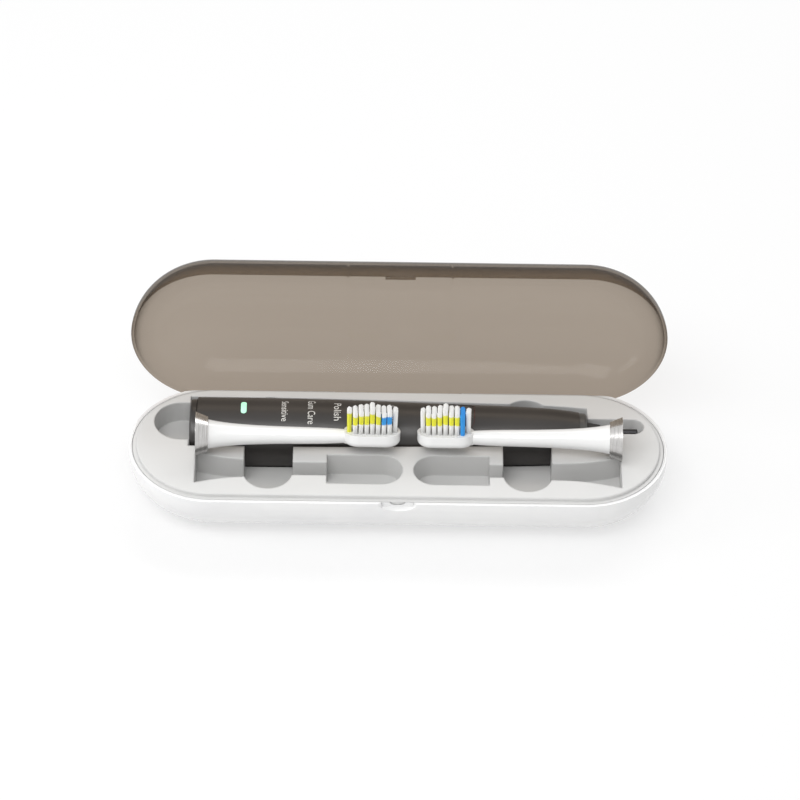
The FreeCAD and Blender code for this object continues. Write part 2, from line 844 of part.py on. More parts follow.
shell = handle_body("handle_housing")
round_loft(shell, "outside", HANDLE)
round_loft(shell, "inside", HANDLE, "SubtractiveLoft", "(0 - handle_wall)")
disc(shell, "nose", "nose_x - nose_wall", "nose_radius - fit_gap", "nose_wall")
disc(
    shell,
    "bearing_bore",
    "nose_x - nose_wall - 1",
    "bearing_radius + pin_seat",
    "nose_wall + 2",
    "shaft_rise",
    cut=True,
)
for name, draw in (("button", draw_button("button_gap")), ("light", draw_light("fit_gap"))):
    plan = new_sketch(shell, f"{name}_hole_plan", "XY_Plane", "cell_radius - 2")
    draw(plan)
    pocket(shell, f"{name}_hole", plan, "rear_radius", reverse=True)

cap = handle_body("end_cap")
SPIGOT = "(rear_radius - handle_wall - fit_gap)"
CAP_FACE = "(shell_start_x - cap_groove)"
GROOVE = "(shell_start_x + 1.5)"
GROOVE_END = f"({GROOVE} + 2 * seal_section + fit_gap)"
GROOVE_RADIUS = "(rear_radius - handle_wall - seal_squeeze - 2 * seal_section)"
SPIGOT_END = "(shell_start_x + spigot_length)"
turned(
    cap,
    "cap",
    [
        ("cap_start_x", "0"),
        ("cap_start_x", "cap_radius - 1.2"),
        ("cap_start_x + 1.2", "cap_radius"),
        (CAP_FACE, "cap_radius"),
        (CAP_FACE, SPIGOT),
        (GROOVE, SPIGOT),
        (GROOVE, GROOVE_RADIUS),
        (GROOVE_END, GROOVE_RADIUS),
        (GROOVE_END, SPIGOT),
        (SPIGOT_END, SPIGOT),
        (SPIGOT_END, f"{SPIGOT} - 2.2"),
        ("cap_start_x + handle_wall", f"{SPIGOT} - 2.2"),
        ("cap_start_x + handle_wall", "0"),
    ],
    {1: ("1.2", False)},
)

ring = handle_body("end_cap_seal")
sketch = new_sketch(ring, "ring_section", "XZ_Plane")
circle(
    sketch,
    f"({GROOVE} + {GROOVE_END}) / 2",
    f"{GROOVE_RADIUS} + seal_section",
    "seal_section",
)
turn(ring, "ring", sketch)

COIL_X = "(cap_start_x + handle_wall + fit_gap)"
coil = handle_body("charging_coil")
disc(coil, "winding", COIL_X, "coil_outer", "coil_length")
disc(coil, "eye", f"{COIL_X} - 1", "coil_inner", "coil_length + 2", cut=True)

core = handle_body("coil_core")
disc(core, "post", COIL_X, "coil_inner - fit_gap", "coil_length + fit_gap")
disc(core, "flange_plate", f"{COIL_X} + coil_length + fit_gap", "coil_outer", "core_flange")

frame = handle_body("inner_frame")
FRAME = [
    ("frame_start_x", "rear_radius"),
    *HANDLE[2:6],
    ("frame_end_x", "waist_radius + 0.3 - 0.6 * (frame_end_x - 55) / 11"),
]
turned(
    frame,
    "frame",
    [(x, f"{radius} - handle_wall - fit_gap") for x, radius in FRAME]
    + [(x, f"{radius} - handle_wall - fit_gap - frame_wall") for x, radius in reversed(FRAME)],
)
boxed(frame, "frame_top", "-150", "150", "-40", "40", "board_z", "40", True, True)

cell = handle_body("battery_cell")
CELL_Z = "(cell_radius + cell_gap + frame_wall + fit_gap + handle_wall - body_radius)"
disc(cell, "can", "cell_x", "cell_radius", "cell_length", CELL_Z)
disc(cell, "cell_button", "cell_x + cell_length", "2.5", "1.2", CELL_Z)

board = handle_body("circuit_board")
boxed(
    board,
    "laminate",
    "board_start_x",
    "board_end_x",
    "-board_half",
    "board_half",
    "board_z",
    "board_thickness",
)
BOARD_TOP = "(board_z + board_thickness)"
boxed(board, "light_chip", "light_x - 1", "light_x + 1", "-1.5", "1.5", BOARD_TOP, "1")
boxed(board, "main_chip", "-30", "-23", "-3.5", "3.5", BOARD_TOP, "1.2")
boxed(board, "charge_chip", "-50", "-45", "-2.5", "2.5", BOARD_TOP, "1.2")

switch = handle_body("button_switch")
SWITCH_TOP = "(button_under - button_room)"
boxed(
    switch,
    "switch_case",
    "button_x - 3",
    "button_x + 3",
    "-3",
    "3",
    BOARD_TOP,
    f"({SWITCH_TOP} - {BOARD_TOP}) * 0.7",
)
plan = new_sketch(switch, "plunger_plan", "XY_Plane", BOARD_TOP)
circle(plan, "button_x", "0", "1.7")
pad(switch, "plunger", plan, f"{SWITCH_TOP} - {BOARD_TOP}")

button = handle_body("power_button")
round_loft(button, "button_face", HANDLE, grow="(0 - button_sink)")
keep_inside(button, "button_sides", draw_button("0"))
boxed(button, "button_below", "-150", "150", "-40", "40", "button_under", "80", True)

light = handle_body("status_light")
round_loft(light, "light_face", HANDLE, grow="(0 - seal_squeeze)")
keep_inside(light, "light_sides", draw_light("0"))
boxed(light, "light_below", "-150", "150", "-40", "40", f"{BOARD_TOP} + 1.3", "80", True)

stator = handle_body("stator_core")
WINDING_RADIUS = "(magnet_radius + rotor_gap + winding_wall)"
disc(stator, "stator", "stator_x", "stator_radius", "stator_length")
disc(
    stator,
    "stator_bore",
    "stator_x - 1",
    WINDING_RADIUS,
    "stator_length + 2",
    "shaft_rise",
    cut=True,
)
winding = handle_body("drive_coil")
disc(
    winding,
    "winding_tube",
    "stator_x + 3",
    f"{WINDING_RADIUS} - pin_seat",
    "stator_length - 6",
    "shaft_rise",
)
disc(
    winding,
    "winding_bore",
    "stator_x + 2",
    "magnet_radius + rotor_gap",
    "stator_length",
    "shaft_rise",
    cut=True,
)

MAGNET_X = "(stator_x + (stator_length - magnet_length) / 2)"
magnet = handle_body("rotor_magnet")
disc(magnet, "magnet", MAGNET_X, "magnet_radius", "magnet_length", "shaft_rise")
disc(
    magnet,
    "magnet_bore",
    f"{MAGNET_X} - 1",
    "shaft_radius + pin_seat",
    "magnet_length + 2",
    "shaft_rise",
    cut=True,
)

shaft = handle_body("drive_shaft")
turned(
    shaft,
    "shaft",
    [
        (f"{MAGNET_X} - 1", "0"),
        (f"{MAGNET_X} - 1", "shaft_radius"),
        ("tip_start_x", "shaft_radius"),
        ("tip_start_x", "tip_radius"),
        ("tip_end_x - 0.4", "tip_radius"),
        ("tip_end_x", "tip_radius - 0.4"),
        ("tip_end_x", "0"),
    ],
    rise="shaft_rise",
)

bearing = handle_body("shaft_bearing")
disc(
    bearing,
    "bush",
    "nose_x - bearing_length - fit_gap",
    "bearing_radius",
    "bearing_length",
    "shaft_rise",
)
disc(
    bearing,
    "bush_bore",
    "nose_x - bearing_length - 1",
    "shaft_radius + shaft_gap",
    "bearing_length + 2",
    "shaft_rise",
    cut=True,
)

seal = handle_body("shaft_seal")
SEAL_BORE = "(shaft_radius + shaft_gap)"
turned(
    seal,
    "boot",
    [
        ("nose_x + pin_seat", SEAL_BORE),
        ("nose_x + pin_seat", "seal_root"),
        (f"{COLLAR_END} + 0.3", "seal_root"),
        ("seal_end_x", "seal_tip"),
        ("seal_end_x", SEAL_BORE),
    ],
    rise="shaft_rise",
)

collar = handle_body("neck_collar")
band = disc(collar, "band", "nose_x + pin_seat", "nose_radius - 0.3", "collar_length")
front = value(f"{COLLAR_END} + pin_seat")
fillet(collar, "band_round", band, lambda box: box.XMin > front - 0.01, "collar_length / 2")
disc(collar, "band_bore", "nose_x - 1", "seal_root + shaft_gap", "10", "shaft_rise", cut=True)

# ---------------------------------------------------------------- brush heads, drawn along X from the mouth

MOUTH_Z = f"({LAND_Z} + ring_radius + head_seat)"
MOUTH_Y = (
    "(handle_y - sqrt((rear_radius + ring_radius + head_seat) ^ 2"
    f" - ({MOUTH_Z} - {AXIS_Z}) ^ 2))"
)
TIP_Z = f"({MOUTH_Z} - head_drop)"
TIP_Y = (
    "(handle_y - sqrt((body_radius + plate_half + lean_gap) ^ 2"
    f" - ({TIP_Z} - {AXIS_Z}) ^ 2))"
)


def head_placement(side):
    """Where a head lies: its ring on the land and against the handle, its plate leaning on the handle."""
    way = 1 if side == "left" else -1
    across = value(TIP_Y) - value(MOUTH_Y)
    fall = value("head_drop")
    along = math.sqrt(value("head_length") ** 2 - across**2 - fall**2)
    mouth = value("pocket_left_x") if side == "left" else value("head_right_x")
    turn_z = math.degrees(math.atan2(across, way * along))
    turn_y = math.degrees(math.asin(fall / value("head_length")))
    turn_x = -way * value("head_tilt")
    place = FreeCAD.Vector(mouth, value(MOUTH_Y), value(MOUTH_Z))
    return FreeCAD.Placement(place, FreeCAD.Rotation(turn_z, turn_y, turn_x))


PLATE_X = "(head_length - plate_length)"
HUB_RADIUS = "(ring_radius - (ring_radius - ring_front) * mouth_inset / ring_length - ring_wall - pin_seat)"
NECK = [
    ("ring_length - 0.2", "neck_root"),
    ("9", "neck_root - 0.75"),
    ("16", "neck_mid + 0.75"),
    ("29", "neck_mid"),
    (f"{PLATE_X} - 16", "(neck_mid + neck_slim) / 2"),
    (f"{PLATE_X} - 3", "neck_slim"),
    (f"{PLATE_X} + 4", "plate_top"),
]


def head_ring(side):
    body = new_body(f"head_{side}_ring")
    turned(
        body,
        f"{side}_ring",
        [
            ("0", "ring_radius - ring_wall"),
            ("0", "ring_radius"),
            ("ring_length", "ring_front"),
            ("ring_length", "ring_front - ring_wall"),
        ],
    )
    return body


def head_neck(side):
    body = new_body(f"head_{side}_body")
    turned(
        body,
        f"{side}_hub",
        [
            ("mouth_inset", "0"),
            ("mouth_inset", HUB_RADIUS),
            ("ring_length", "ring_front - ring_wall - pin_seat"),
            ("ring_length", "0"),
        ],
    )
    round_loft(body, f"{side}_neck", NECK)
    plan = new_sketch(body, f"{side}_plate_plan", "XY_Plane", "-plate_under")
    stadium(plan, PLATE_X, "head_length", "0", "plate_half")
    plate = pad(body, f"{side}_plate", plan, "plate_under + plate_top")
    fillet(body, f"{side}_plate_under", plate, level("-plate_under"), "plate_under * 0.8")
    plan = new_sketch(body, f"{side}_strip_plan", "XY_Plane", "plate_top")
    stadium(
        plan,
        f"{PLATE_X} + strip_margin",
        "head_length - strip_margin",
        "0",
        "plate_half - strip_margin",
    )
    pocket(body, f"{side}_strip_seat", plan, "strip_depth")
    disc(
        body,
        f"{side}_socket",
        "mouth_inset - 1",
        "insert_radius + pin_seat",
        "insert_length + 1 + fit_gap",
        cut=True,
    )
    return body


def head_insert(side):
    body = new_body(f"head_{side}_insert")
    disc(body, f"{side}_insert", "mouth_inset", "insert_radius", "insert_length")
    disc(
        body,
        f"{side}_insert_bore",
        "mouth_inset - 1",
        "tip_radius + shaft_gap",
        "insert_length + 2",
        cut=True,
    )
    return body


def head_bristles(side):
    """Tufts in rows on a strip that sits in the plate, trimmed to a crown."""
    body = new_body(f"head_{side}_bristles")
    plan = new_sketch(body, f"{side}_tuft_strip_plan", "XY_Plane", "plate_top")
    inset = "(strip_margin + pin_seat)"
    stadium(
        plan,
        f"{PLATE_X} + {inset}",
        f"head_length - {inset}",
        "0",
        f"plate_half - {inset}",
    )
    pad(body, f"{side}_tuft_strip", plan, "strip_depth - pin_seat", reverse=True)
    plan = new_sketch(body, f"{side}_tuft_plan", "XY_Plane", "plate_top - strip_depth / 2")
    columns = int(value("tuft_columns"))
    first = f"(head_length - plate_length / 2 - tuft_pitch * {(columns - 1) / 2})"
    for column in range(columns):
        rows = (-0.5, 0.5) if column in (0, columns - 1) else (-1.5, -0.5, 0.5, 1.5)
        for row in rows:
            circle(
                plan,
                f"{first} + tuft_pitch * {column}",
                f"tuft_step * {row}",
                "tuft_radius",
            )
    tall = "tuft_length + tuft_crown + strip_depth"
    pad(body, f"{side}_tufts", plan, tall)
    low = "plate_top + tuft_length"
    chord = "(plate_length + 4)"
    sweep = f"(({chord} ^ 2 / 4 + tuft_crown ^ 2) / (2 * tuft_crown))"
    cut = new_sketch(body, f"{side}_trim_side", "XZ_Plane")
    outline(
        cut,
        [
            (f"{PLATE_X} - 2", low),
            ("head_length + 2", low),
            ("head_length + 2", f"{low} + 10"),
            (f"{PLATE_X} - 2", f"{low} + 10"),
        ],
        {0: (sweep, False)},
    )
    pocket(body, f"{side}_trim", cut, "4 * plate_half", both=True)
    return body


for side in ("left", "right"):
    placement = head_placement(side)
    for make in (head_ring, head_neck, head_insert, head_bristles):
        make(side).Placement = placement

# ---------------------------------------------------------------- export

doc.recompute()
for item in doc.Objects:
    if "Invalid" in item.State or "Error" in item.State:
        raise RuntimeError(f"{item.Name} did not build: {item.State}")
os.makedirs("parts", exist_ok=True)
for body in doc.Objects:
    if body.TypeId != "PartDesign::Body":
        continue
    if body.Shape.isNull() or not body.Shape.isValid():
        raise RuntimeError(f"{body.Label} has no valid shape")
    body.Shape.exportStep(f"parts/{body.Label}.step")
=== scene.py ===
# %% [markdown]
# # A sonic toothbrush in its travel case
# This notebook dresses a finished CAD model. The case, its tray, the smoke-clear lid, the handle and the two
# spare heads arrive as exact solids in metres. What is left to make here is what a solid model doesn't hold:
# the nylon of the brush tufts, the printed words and the power sign, and the finish of every surface.
#
# The first step loads the solids.

# %% Load the solids
import math
import random
import bmesh
import bpy
from mathutils import Matrix, Vector
from mathutils.bvhtree import BVHTree


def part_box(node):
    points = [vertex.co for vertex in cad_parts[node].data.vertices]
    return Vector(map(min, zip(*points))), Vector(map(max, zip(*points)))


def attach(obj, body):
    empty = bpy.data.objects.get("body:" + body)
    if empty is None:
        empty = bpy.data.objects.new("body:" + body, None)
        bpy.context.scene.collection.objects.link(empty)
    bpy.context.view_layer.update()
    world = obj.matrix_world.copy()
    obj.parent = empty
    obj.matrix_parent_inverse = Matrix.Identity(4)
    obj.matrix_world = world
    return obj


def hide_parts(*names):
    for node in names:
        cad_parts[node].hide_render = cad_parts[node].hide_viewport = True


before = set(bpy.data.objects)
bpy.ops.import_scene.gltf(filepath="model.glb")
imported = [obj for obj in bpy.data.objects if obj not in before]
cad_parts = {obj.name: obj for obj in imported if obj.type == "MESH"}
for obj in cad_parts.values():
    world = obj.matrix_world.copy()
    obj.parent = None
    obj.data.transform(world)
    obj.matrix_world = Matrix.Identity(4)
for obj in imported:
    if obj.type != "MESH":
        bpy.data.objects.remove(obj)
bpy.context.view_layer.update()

MM = 0.001
bpy.ops.object.select_all(action="DESELECT")

# %% [markdown]
# ## Camera
# The picture is taken from above and in front, 43 degrees up, from about 1.6 m with a long lens. A long lens
# keeps the two round ends of the case the same size.

# %% Camera
AIM = Vector((0, 0, 24.8)) * MM
UP_ANGLE, SIDE_ANGLE, ROLL = math.radians(42.7), math.radians(0.42), math.radians(1.06)
AWAY = 1.618
flat = AWAY * math.cos(UP_ANGLE)
bpy.ops.object.camera_add(
    location=(
        -flat * math.sin(SIDE_ANGLE),
        -flat * math.cos(SIDE_ANGLE),
        AIM.z + AWAY * math.sin(UP_ANGLE),
    )
)
camera = bpy.context.object
towards = (AIM - camera.location).to_track_quat("-Z", "Y").to_matrix()
camera.rotation_euler = (towards @ Matrix.Rotation(ROLL, 3, "Z")).to_euler()
camera.data.lens, camera.data.sensor_width = 172.0, 36.0
camera.data.shift_x, camera.data.shift_y = 0.0024, 0.058
camera.data.clip_start, camera.data.clip_end = 0.05, 50
bpy.context.scene.camera = camera
print("camera at", [round(x, 3) for x in camera.location])

# %% [markdown]
# ## Shader maths
# A finish is a small sum: a mask here, a noise there, one minus something. Adding Math nodes by hand makes
# that sum hard to read. The class below wraps a socket, and adds the nodes when its values are added,
# multiplied or compared, so that the rest of the notebook reads like arithmetic.


# %% Shader maths
class Sum:
    """A socket that arithmetic can be written with."""

    def __init__(self, finish, socket):
        self.finish, self.socket = finish, socket

    def math(self, operation, *others, clamp=False):
        values = [self, *others]
        return self.finish.node(
            "ShaderNodeMath",
            {"operation": operation, "use_clamp": clamp},
            {i: value for i, value in enumerate(values)},
        )

    def __add__(self, other):
        return self.math("ADD", other)

    def __sub__(self, other):
        return self.math("SUBTRACT", other)

    def __mul__(self, other):
        return self.math("MULTIPLY", other)

    def __truediv__(self, other):
        return self.math("DIVIDE", other)

    def __gt__(self, other):
        return self.math("GREATER_THAN", other)

    def __lt__(self, other):
        return self.math("LESS_THAN", other)

    def __rsub__(self, other):
        return self.finish.node("ShaderNodeMath", {"operation": "SUBTRACT"}, {0: other, 1: self})

    __radd__, __rmul__ = __add__, __mul__

    def smooth(self, low, high):
        """0 under low, 1 over high, and an even bend between them."""
        return self.finish.node(
            "ShaderNodeMapRange",
            {"interpolation_type": "SMOOTHSTEP"},
            {"Value": self, "From Min": low, "From Max": high},
        )


class Finish:
    """A material whose nodes are added by name."""

    def __init__(self, name):
        self.material = bpy.data.materials.new(name)
        self.material.use_nodes = True
        self.tree = self.material.node_tree
        self.tree.nodes.clear()
        self.places = self.node("ShaderNodeTexCoord", output="Object", wrap=False)

    def node(self, kind, settings=None, inputs=None, output=0, wrap=True):
        made = self.tree.nodes.new(kind)
        for key, value in (settings or {}).items():
            setattr(made, key, value)
        for key, value in (inputs or {}).items():
            socket = made.inputs[key]
            value = value.socket if isinstance(value, Sum) else value
            if isinstance(value, bpy.types.NodeSocket):
                self.tree.links.new(value, socket)
            elif isinstance(value, tuple) and socket.type == "RGBA":
                socket.default_value = (*value, 1)
            else:
                socket.default_value = value
        socket = made.outputs[output]
        return Sum(self, socket) if wrap else socket

    def axes(self):
        """X, Y and Z of the place on the object, in millimetres."""
        split = self.tree.nodes.new("ShaderNodeSeparateXYZ")
        self.tree.links.new(self.places, split.inputs[0])
        return [Sum(self, split.outputs[i]) * 1000 for i in range(3)]

    def noise(self, scale, detail=3.0, rough=0.5, stretch=None):
        """Noise of the given scale, about 0.5, drawn out along an axis where stretch is given."""
        where = self.places
        if stretch:
            where = self.node(
                "ShaderNodeMapping", None, {"Vector": where, "Scale": stretch}, wrap=False
            )
        return self.node(
            "ShaderNodeTexNoise", None,
            {"Vector": where, "Scale": scale, "Detail": detail, "Roughness": rough},
        )

    def mix(self, share, first, second):
        """One colour into another by a share."""
        return self.node(
            "ShaderNodeMix", {"data_type": "RGBA"}, {0: share, 6: first, 7: second},
            output=2, wrap=False,
        )

    def bump(self, height, strength, distance, normal=None):
        given = {"Height": height, "Strength": strength, "Distance": distance}
        if normal is not None:
            given["Normal"] = normal
        return self.node("ShaderNodeBump", None, given, wrap=False)

    def soft_edges(self, radius):
        """A normal that rounds sharp edges off, as a mould does."""
        return self.node("ShaderNodeBevel", {"samples": 6}, {"Radius": radius}, wrap=False)

    def surface(self, **inputs):
        named = {key.replace("_", " "): value for key, value in inputs.items()}
        return self.node("ShaderNodeBsdfPrincipled", None, named, wrap=False)

    def output(self, shader):
        end = self.tree.nodes.new("ShaderNodeOutputMaterial")
        self.tree.links.new(shader, end.inputs["Surface"])


# %% [markdown]
# ## Surroundings
# The case stands on a white table in a white room. One large soft lamp hangs in front and above, a weaker
# one on each side, and the pale world fills the shadows. The floor is slightly bright by itself to the camera
# and to mirrors, so that it stays white, and it still takes the shadow of the case.

# %% Floor, world and lamps
def white_floor():
    finish = Finish("table")
    rays = finish.tree.nodes.new("ShaderNodeLightPath")
    seen = finish.node(
        "ShaderNodeMath", {"operation": "MAXIMUM"},
        {0: rays.outputs["Is Camera Ray"], 1: rays.outputs["Is Glossy Ray"]},
    ).math("MAXIMUM", Sum(finish, rays.outputs["Is Transmission Ray"]))
    table = finish.surface(Base_Color=(0.82, 0.82, 0.82), Roughness=0.6)
    bright = finish.node(
        "ShaderNodeEmission", None, {"Color": (1.0, 1.0, 1.0), "Strength": 1.0}, wrap=False
    )
    finish.output(
        finish.node("ShaderNodeMixShader", None, {0: seen * 0.62, 1: table, 2: bright}, wrap=False)
    )
    return finish.material


bpy.ops.mesh.primitive_plane_add(size=12, location=(0, 0, 0))
floor = bpy.context.object
floor.name = "floor"
floor.data.materials.append(white_floor())

world = bpy.data.worlds.new("room")
bpy.context.scene.world = world
world.use_nodes = True
nodes, links = world.node_tree.nodes, world.node_tree.links
nodes.clear()
rays = nodes.new("ShaderNodeLightPath")
seen = [rays.outputs[name] for name in ("Is Camera Ray", "Is Glossy Ray", "Is Transmission Ray")]
first, both = nodes.new("ShaderNodeMath"), nodes.new("ShaderNodeMath")
first.operation = both.operation = "MAXIMUM"
links.new(seen[0], first.inputs[0])
links.new(seen[1], first.inputs[1])
links.new(first.outputs[0], both.inputs[0])
links.new(seen[2], both.inputs[1])
level = nodes.new("ShaderNodeMapRange")
links.new(both.outputs[0], level.inputs["Value"])
level.inputs["To Min"].default_value, level.inputs["To Max"].default_value = 0.55, 1.0
background = nodes.new("ShaderNodeBackground")
background.inputs["Color"].default_value = (1, 1, 1, 1)
links.new(level.outputs[0], background.inputs["Strength"])
links.new(background.outputs[0], nodes.new("ShaderNodeOutputWorld").inputs["Surface"])


def lamp(name, place, aim, size, watts):
    bpy.ops.object.light_add(type="AREA", location=place)
    made = bpy.context.object
    made.name = name
    made.rotation_euler = (Vector(aim) - Vector(place)).to_track_quat("-Z", "Y").to_euler()
    made.data.shape, made.data.size, made.data.size_y = "RECTANGLE", size[0], size[1]
    made.data.energy = watts
    return made


lamp("front_lamp", (-0.25, -0.55, 1.05), (0, 0, 0.02), (0.9, 0.5), 7.5)
lamp("back_lamp", (0.2, 0.7, 0.9), (0, 0, 0.03), (1.1, 0.3), 4.0)
lamp("left_lamp", (-0.9, -0.1, 0.5), (0, 0, 0.02), (0.3, 0.6), 2.0)
bpy.context.scene.view_settings.view_transform = "Standard"

# %% [markdown]
# ## Plastics
# Moulded plastic isn't one flat value. A gloss moulding has a faint orange peel and a little dust-fine
# change of roughness. A satin moulding has the fine pits of an etched mould. Both are one function here:
# a colour that wanders by a few parts in a hundred, a roughness that wanders more, and a bump.


# %% Plastics
def plastic(name, colour, roughness, pits=0.1, pit_size=900.0, drift=0.04, edge=0.0, coat=0.0):
    finish = Finish(name)
    cloud = finish.noise(38.0, 4.0)
    grain = finish.noise(pit_size, 2.0)
    paler = tuple(min(1.0, c * (1 + drift)) for c in colour)
    deeper = tuple(c * (1 - drift) for c in colour)
    normal = finish.soft_edges(edge) if edge else None
    finish.output(
        finish.surface(
            Base_Color=finish.mix(cloud.smooth(0.3, 0.7), deeper, paler),
            Roughness=(cloud - 0.5) * 0.12 + (grain - 0.5) * 0.08 + roughness,
            Coat_Weight=coat,
            Normal=finish.bump(grain, pits, 0.00004, normal),
        )
    )
    return finish.material


def wear(node, material):
    """Gives a carried-over solid its finish."""
    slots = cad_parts[node].data.materials
    slots.clear()
    slots.append(material)


# %% [markdown]
# ## The white base
# The base is gloss white. Two fine lines run round its ledge, one beside the tray and one beside the outer
# edge. They could be cut as geometry, but they are a tenth of a millimetre wide, so a bump does, and the
# colour is painted darker along them as painted shade in the grooves. A line that follows a stadium needs the
# distance from the stadium's spine: the length along X past the straight part, and Y, put together as in
# Pythagoras. The spine's half length and the ledge's height come from the box of the base itself.

# %% The white base
low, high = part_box("case_base")
HALF_WIDTH = -low.y * 1000
SPINE = high.x * 1000 - HALF_WIDTH
LEDGE = high.z * 1000
print("spine half length", round(SPINE, 2), "mm, ledge at", round(LEDGE, 2), "mm")


def from_spine(x, y):
    past = (x.math("ABSOLUTE") - SPINE).math("MAXIMUM", 0.0)
    return (past * past + y * y).math("SQRT")


def line_at(distance, place, width):
    """1 on a line at this distance from the spine, 0 off it."""
    return 1 - (distance - place).math("ABSOLUTE").smooth(width * 0.4, width)


def base_white():
    finish = Finish("gloss_white_base")
    x, y, z = finish.axes()
    out = from_spine(x, y)
    on_ledge = z > LEDGE - 0.6
    # painted shade: this mask of the ledge lines feeds the bump and also darkens the colour along them
    lines = on_ledge * (
        line_at(out, HALF_WIDTH - 0.95, 0.3)
        + line_at(out, HALF_WIDTH - 1.55, 0.2) * 0.5
        + line_at(out, HALF_WIDTH - 2.7, 0.25) * 0.6
    )
    cloud, peel = finish.noise(30.0, 3.0), finish.noise(420.0, 2.0)
    white = finish.mix(cloud.smooth(0.3, 0.7), (0.80, 0.80, 0.805), (0.845, 0.845, 0.84))
    finish.output(
        finish.surface(
            # painted shade: the white is mixed towards mid grey along the ledge lines
            Base_Color=finish.mix(lines * 0.45, white, (0.50, 0.50, 0.50)),
            Roughness=(cloud - 0.5) * 0.1 + 0.16,
            Coat_Weight=0.25,
            Normal=finish.bump(
                0.5 - lines, 0.5, 0.0001, finish.bump(peel, 0.04, 0.00004, finish.soft_edges(0.0004))
            ),
        )
    )
    return finish.material


wear("case_base", base_white())

# %% [markdown]
# ## The tray
# The tray is vacuum formed from pale grey sheet, so its edges are soft. A bevel modifier would need clean
# faces, and a solid's faces are loose triangles, so the softness is a shading of the normal by a radius of
# about a millimetre. The pockets are painted a little darker deep down, as painted shade in the recesses.


# %% The tray
def tray_grey():
    finish = Finish("satin_grey_tray")
    x, y, z = finish.axes()
    # painted shade: the grey is mixed darker towards the bottom of the pockets, fully below 10 mm and fading
    # out by 27 mm
    deep_painted_shade = 1 - z.smooth(10.0, 27.0)
    cloud, grain = finish.noise(26.0, 4.0), finish.noise(1300.0, 2.0)
    pale = finish.mix(cloud.smooth(0.25, 0.75), (0.615, 0.615, 0.605), (0.655, 0.652, 0.645))
    finish.output(
        finish.surface(
            Base_Color=finish.mix(deep_painted_shade * 0.45, pale, (0.36, 0.36, 0.355)),
            Roughness=(cloud - 0.5) * 0.1 + (grain - 0.5) * 0.1 + 0.42,
            Normal=finish.bump(grain, 0.12, 0.00003, finish.soft_edges(0.0011)),
        )
    )
    return finish.material


wear("tray_insert", tray_grey())

# %% [markdown]
# ## The smoke lid
# The lid is a thin brown-grey clear shell. Real glass with a depth of colour would do, but a shell of one
# millimetre is simpler as a tinted transparent surface under a gloss: each of the two faces lets six tenths
# of the light through. Where the wall is seen along its length it looks dark, and the Layer Weight node's
# facing value gives that.


# %% The smoke lid
def smoke():
    finish = Finish("smoke_clear_lid")
    facing = finish.node("ShaderNodeLayerWeight", None, {"Blend": 0.35}, output=1)
    ripple_and_reflection_streaks = finish.noise(9.0, 2.0, 0.4, (0.35, 1.0, 2.6))
    dust = finish.noise(300.0, 2.0)
    tint = finish.mix(facing.smooth(0.35, 0.95), (0.685, 0.635, 0.580), (0.20, 0.165, 0.135))
    clear = finish.node("ShaderNodeBsdfTransparent", None, {"Color": tint}, wrap=False)
    # painted reflection: the gloss colour is lighter along the stretched streaks of this noise, standing in
    # for reflected light; the same noise is also a real bump and roughness change
    gloss = finish.surface(
        Base_Color=finish.mix(ripple_and_reflection_streaks.smooth(0.35, 0.65), (0.050, 0.040, 0.032), (0.085, 0.070, 0.058)),
        Roughness=(ripple_and_reflection_streaks - 0.5) * 0.12 + (dust - 0.5) * 0.03 + 0.09,
        Coat_Weight=0.3,
        Normal=finish.bump(ripple_and_reflection_streaks, 0.2, 0.0006),
    )
    # painted reflection: the streaks also raise the gloss share a little; the facing term darkens the wall
    # seen along its length
    share = facing * facing * 0.5 + (ripple_and_reflection_streaks - 0.5) * 0.05 + 0.10
    finish.output(finish.node("ShaderNodeMixShader", None, {0: share, 1: clear, 2: gloss}, wrap=False))
    return finish.material


wear("case_lid", smoke())

# %% [markdown]
# ## Metal
# The rings at the mouths of the heads are spun steel: fine lines run round them. The lines follow a head's
# own axis, which lies nearly along X, so a noise drawn out across X and squeezed along it makes them.


# %% Metal
def steel(name, colour, roughness, lines=1.0, squeeze=(14.0, 0.5, 0.5)):
    finish = Finish(name)
    spun = finish.noise(260.0, 3.0, 0.6, squeeze)
    cloud = finish.noise(60.0, 3.0)
    dark = tuple(c * 0.78 for c in colour)
    finish.output(
        finish.surface(
            Base_Color=finish.mix(spun.smooth(0.3, 0.7), dark, colour),
            Metallic=1.0,
            Roughness=(spun - 0.5) * 0.16 * lines + (cloud - 0.5) * 0.05 + roughness,
            Normal=finish.bump(spun, 0.25 * lines, 0.00003, finish.soft_edges(0.00015)),
        )
    )
    return finish.material


ring_steel = steel("spun_steel_ring", (0.62, 0.61, 0.60), 0.24)
for side in ("left", "right"):
    wear(f"head_{side}_ring", ring_steel)
wear("hinge_pin", steel("drawn_steel_pin", (0.60, 0.60, 0.60), 0.28, 0.5, (0.4, 6.0, 6.0)))
# the drive shaft is given a near-black steel colour
wear("drive_shaft", steel("near_black_shaft", (0.055, 0.055, 0.058), 0.34, 0.4))
wear("rotor_magnet", steel("plated_magnet", (0.66, 0.65, 0.62), 0.2, 0.4))
wear("stator_core", steel("stacked_core", (0.33, 0.34, 0.36), 0.42, 1.0, (30.0, 0.3, 0.3)))
wear("battery_cell", steel("steel_cell", (0.50, 0.53, 0.55), 0.3, 0.3))

# %% [markdown]
# ## The handle
# The housing is a satin black that leans to brown, with the collar, the cap and the key in the same
# plastic. The seal at the neck is rubber, duller and darker, and the light is a pill of frosted green.

